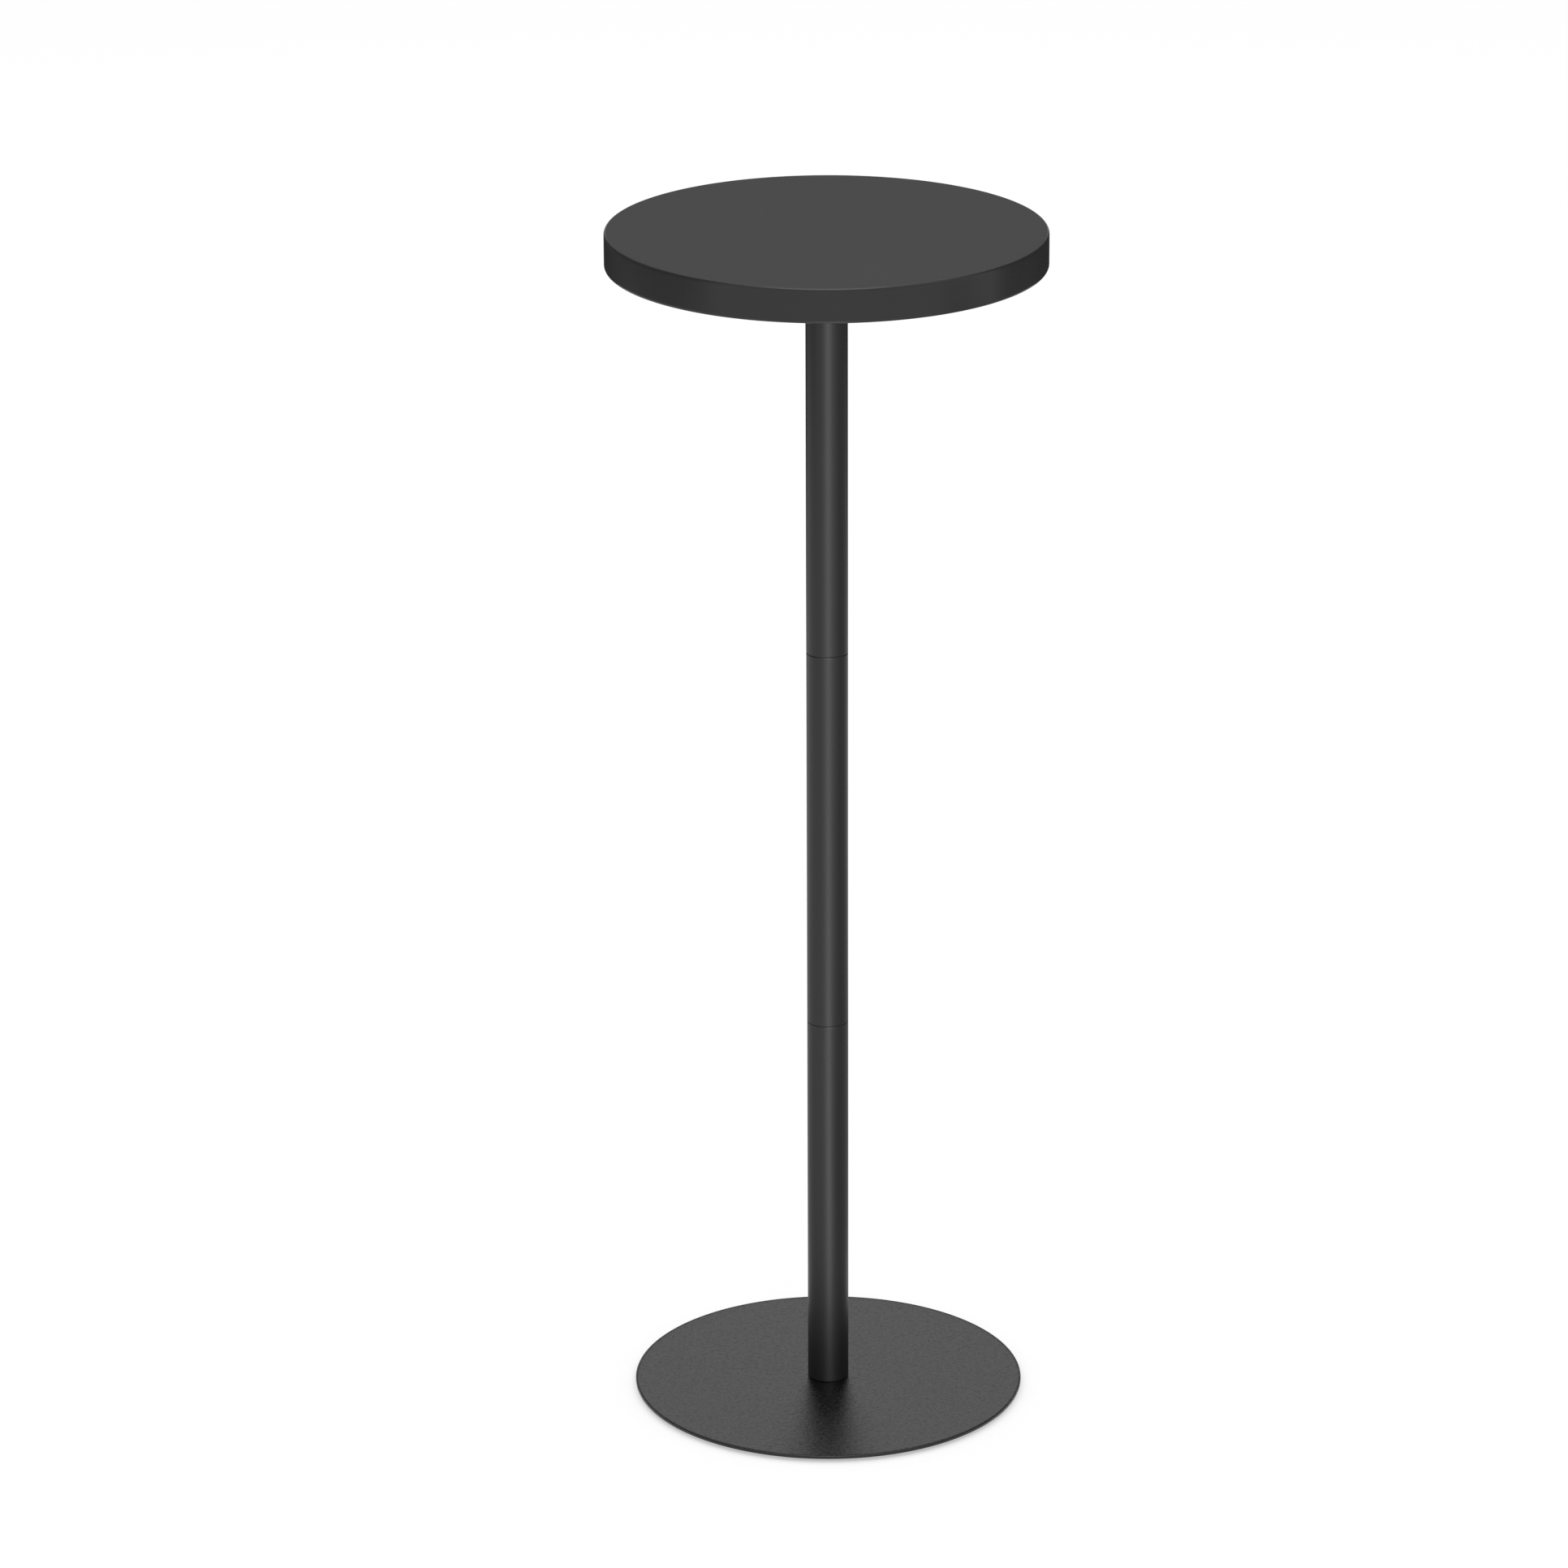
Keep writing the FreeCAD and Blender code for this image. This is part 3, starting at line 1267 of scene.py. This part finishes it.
@dataclass(frozen=True)
class Card:
    """A studio card near the table, which shows only in the table's sheen."""

    name: str
    tone: Tone
    corners: tuple[tuple[float, float, float], ...]

    @classmethod
    def upright(
        cls,
        name: str,
        tone: Tone,
        side: float,
        ends: tuple[float, float],
        bottoms: tuple[float, float],
        tops: tuple[float, float],
    ) -> "Card":
        """Plan a card that stands beside the table.

        Args:
            name: The card's name.
            tone: Its tone.
            side: X of the whole card.
            ends: Y of its front and back ends.
            bottoms: Heights of its lower corners at the front and the back.
            tops: Heights of its upper corners at the front and the back.

        Returns:
            The card.
        """
        front, back = ends
        lower = ((side, front, bottoms[0]), (side, back, bottoms[1]))
        upper = ((side, back, tops[1]), (side, front, tops[0]))
        return cls(name, tone, lower + upper)

    @classmethod
    def lying(
        cls,
        name: str,
        tone: Tone,
        ends: tuple[float, float],
        heights: tuple[float, float],
        span: tuple[float, float],
        back_span: tuple[float, float] | None = None,
    ) -> "Card":
        """Plan a card that lies on the floor or hangs aslant over the table.

        Args:
            name: The card's name.
            tone: Its tone.
            ends: Y of its front and back edges.
            heights: Heights of its front and back edges.
            span: X of the left and right ends of its front edge.
            back_span: X of the left and right ends of its back edge, if they differ.

        Returns:
            The card.
        """
        near = [(x, ends[0], heights[0]) for x in span]
        far = [(x, ends[1], heights[1]) for x in reversed(back_span or span)]
        return cls(name, tone, tuple(near + far))

    def set_up(self, face: Finish) -> None:
        """Put the card's corners in their places and hide it from all but a sheen.

        Args:
            face: The finish of its tone.
        """
        bpy.ops.object.select_all(action="DESELECT")
        bpy.ops.mesh.primitive_plane_add(size=1)
        card = bpy.context.active_object
        card.name = card.data.name = self.name
        for vertex, corner in zip(card.data.polygons[0].vertices, self.corners):
            card.data.vertices[vertex].co = corner
        card.data.materials.append(face.material)
        card.visible_camera = card.visible_diffuse = card.visible_shadow = False


@dataclass
class Studio:
    """A white paper floor under an even sky, with softboxes and cards about the table."""

    paper: Finish
    faces: dict[Tone, Finish] = field(
        default_factory=lambda: {tone: CardFace(f"{tone.name.lower()}_card", tone=tone) for tone in Tone}
    )
    floor_size: float = 60.0
    sky: float = 0.72
    overhead: Softbox = Softbox(
        "overhead", place=(0, 1.0, 4.0), target=(0, 1.0, 0), width=8.0, height=8.0, radiance=0.65
    )
    key: Softbox = Softbox(
        "key", place=(0.3, -3.0, 3.0), target=(0, 0, 0.7), width=1.2, height=0.8, radiance=3.0
    )
    strip: Softbox = Softbox(
        "front_strip", place=(2.6, -18.0, 0.85), target=(0, 0, 0.4), width=8.0, height=1.7, radiance=31.0
    )
    # How far from the axis the side cards stand, and how far up and back they reach
    card_side: float = 0.8
    card_top: float = 2.4
    card_back: float = 2.4
    # Where the floor cards start beside the foot plate, and where they meet the low card
    floor_card_start: float = 0.13
    low_card_side: float = 0.75
    floor_card_height: float = 3 * MM

    def lay_floor(self) -> None:
        """Lay the paper floor."""
        bpy.ops.object.select_all(action="DESELECT")
        bpy.ops.mesh.primitive_plane_add(size=self.floor_size)
        floor = bpy.context.active_object
        floor.name = floor.data.name = "studio_floor"
        floor.data.materials.append(self.paper.material)

    def light_sky(self) -> None:
        """Light the room evenly from all round."""
        world = bpy.data.worlds.new("studio_sky")
        world.use_nodes = True
        tree = world.node_tree
        tree.nodes.clear()
        sky = add_node(tree, "ShaderNodeBackground", sockets={"Color": linear(WHITE), "Strength": self.sky})
        add_node(tree, "ShaderNodeOutputWorld", sockets={"Surface": sky.outputs["Background"]})
        bpy.context.scene.world = world

    def hang_softboxes(self, tubes: list[bpy.types.Object]) -> None:
        """Hang one softbox over the table, a small one for its rim and a far one for the tubes alone.

        Args:
            tubes: The pole's tubes.
        """
        self.overhead.set_up()
        self.key.set_up()
        receivers = bpy.data.collections.new("pole_tubes")
        for tube in tubes:
            receivers.objects.link(tube)
        self.strip.set_up().light_linking.receiver_collection = receivers

    def stand_cards(self) -> None:
        """Stand cards beside the table, hang one over its front rim and lay the rest on the floor."""
        side, back = self.card_side, self.card_back
        start, low = self.floor_card_start, self.low_card_side
        full = (self.card_top, self.card_top)
        floor = (self.floor_card_height, self.floor_card_height)
        cards = (
            Card.upright(
                "left_card", Tone.CHARCOAL, side=-side, ends=(-0.49, back), bottoms=(0.47, 0.25), tops=full
            ),
            Card.upright(
                "right_card", Tone.BLACK, side=side, ends=(0.02, back), bottoms=(0.44, 0.19), tops=full
            ),
            Card.upright(
                "right_low_card", Tone.GREY, side=low, ends=(-0.45, 0.6), bottoms=(0, 0), tops=(0.55, 0.4)
            ),
            Card.lying("right_floor_card", Tone.GREY, ends=(-0.45, 0.6), heights=floor, span=(start, low)),
            Card.lying("left_floor_card", Tone.PALE, ends=(-0.1, 1.3), heights=floor, span=(-low, -start)),
            Card.lying(
                "front_floor_card",
                Tone.BRIGHT,
                ends=(-1.3, -0.12),
                heights=floor,
                span=(-0.15, 0.29),
                back_span=(-0.015, 0.045),
            ),
            Card.lying(
                "front_top_card", Tone.DAZZLING, ends=(-1.3, -0.2), heights=(1.7, 2.4), span=(-0.6, 0.6)
            ),
            Card.lying("back_floor_card", Tone.BLACK, ends=(1.3, 4.0), heights=floor, span=(-2.5, 2.5)),
        )
        for card in cards:
            card.set_up(self.faces[card.tone])

    def set_up(self, tubes: list[bpy.types.Object]) -> None:
        """Set up the floor, the light and the cards.

        Args:
            tubes: The pole's tubes, which have a softbox of their own.
        """
        bpy.context.scene.view_settings.view_transform = "Standard"
        self.lay_floor()
        self.light_sky()
        self.hang_softboxes(tubes)
        self.stand_cards()


def main() -> None:
    """Build and dress the table, then set up the studio and the camera."""
    logging.basicConfig(level=logging.INFO, format="%(name)s: %(message)s")
    lacquer = SprayedLacquer("sprayed_black_lacquer", Slot.BOARD)
    edge_lacquer = SandedEdgeLacquer("sanded_edge_lacquer", Slot.BOARD)
    tube_coat = SmoothPowderCoat("smooth_black_powder_coat", Slot.POLE)
    plate_coat = TexturedPowderCoat("textured_black_powder_coat", Slot.BASE)
    zinc = ZincPlate("bright_zinc_plate", Slot.HARDWARE)
    foam = DieCutFoam("black_closed_cell_foam", Slot.PADS)
    screw = WoodScrew()
    Tabletop(lacquer, edge_lacquer, screw).dress()
    Mount(tube_coat, zinc, screw).dress()
    tubes = Pole(tube_coat, zinc).dress()
    Foot(plate_coat, zinc, foam).dress()
    Studio(SeamlessPaper("white_seamless_paper")).set_up(tubes)
    Camera().set_up()


if __name__ == "__main__":
    main()
